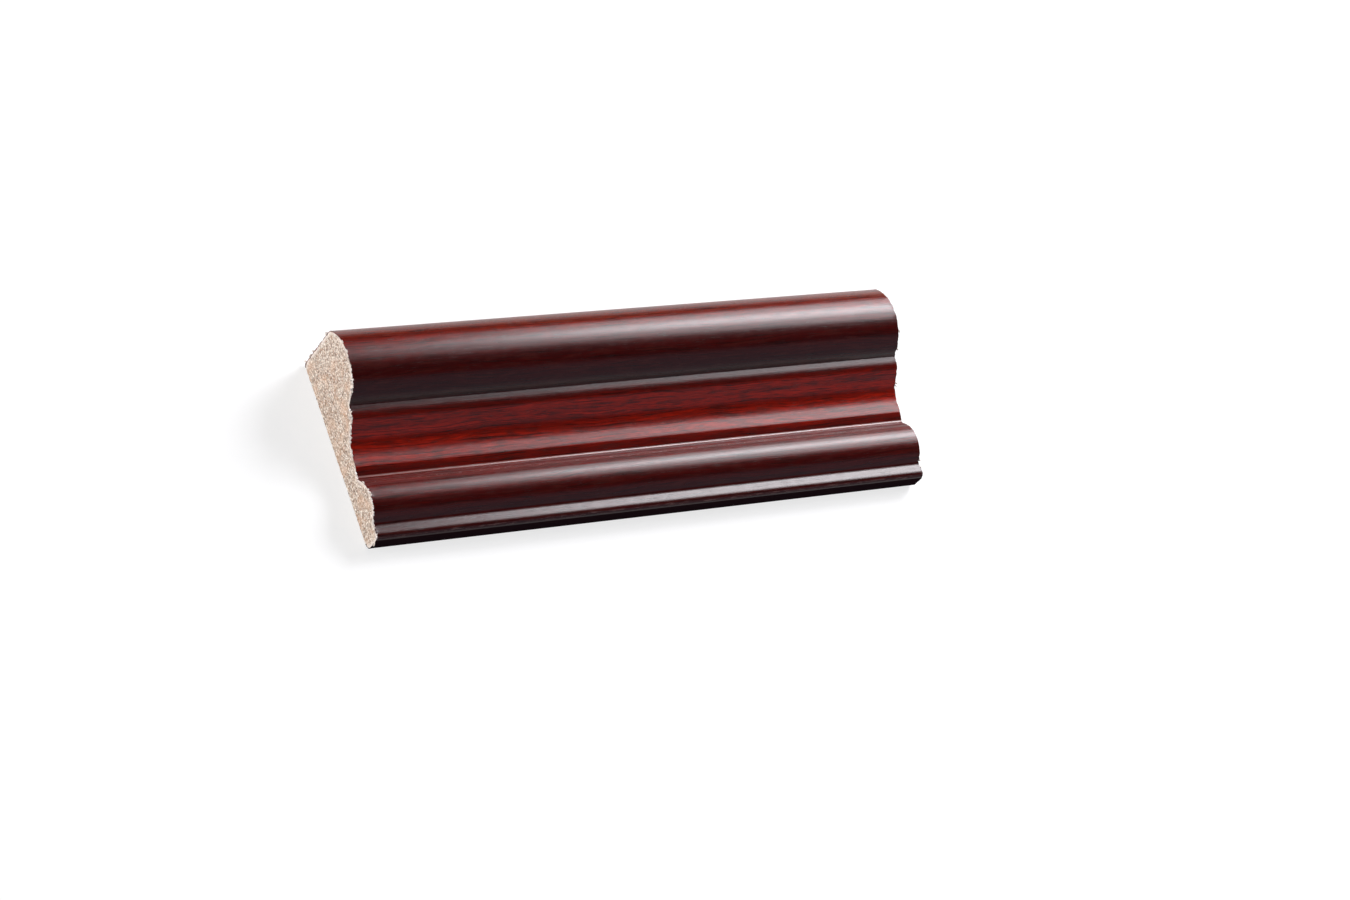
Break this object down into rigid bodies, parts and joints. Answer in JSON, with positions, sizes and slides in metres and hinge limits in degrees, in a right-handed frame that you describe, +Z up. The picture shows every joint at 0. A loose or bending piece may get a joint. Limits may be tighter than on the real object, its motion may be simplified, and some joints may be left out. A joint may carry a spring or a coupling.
{
  "type": "cornice moulding",
  "caption": "Short sawn length of cornice moulding with a crown, bead, cove and ovolo over a flat back, its foamed core wrapped in glossy wood-grain foil.",
  "frame": {"origin": "middle of the flat back, on the surface the moulding lies on", "axes": "+X along the length, +Y across the width towards the thick edge, +Z up from the back towards the moulded face"},
  "size_m": [0.254, 0.08, 0.0322],
  "materials": {
    "core": "sawn foamed wood-plastic, beige with dark specks",
    "foil": "satin-gloss printed mahogany grain, streaks along the length"
  },
  "bodies": {
    "root": {"moulding_core": "core", "wood_grain_foil": "foil"}
  },
  "joints": []
}
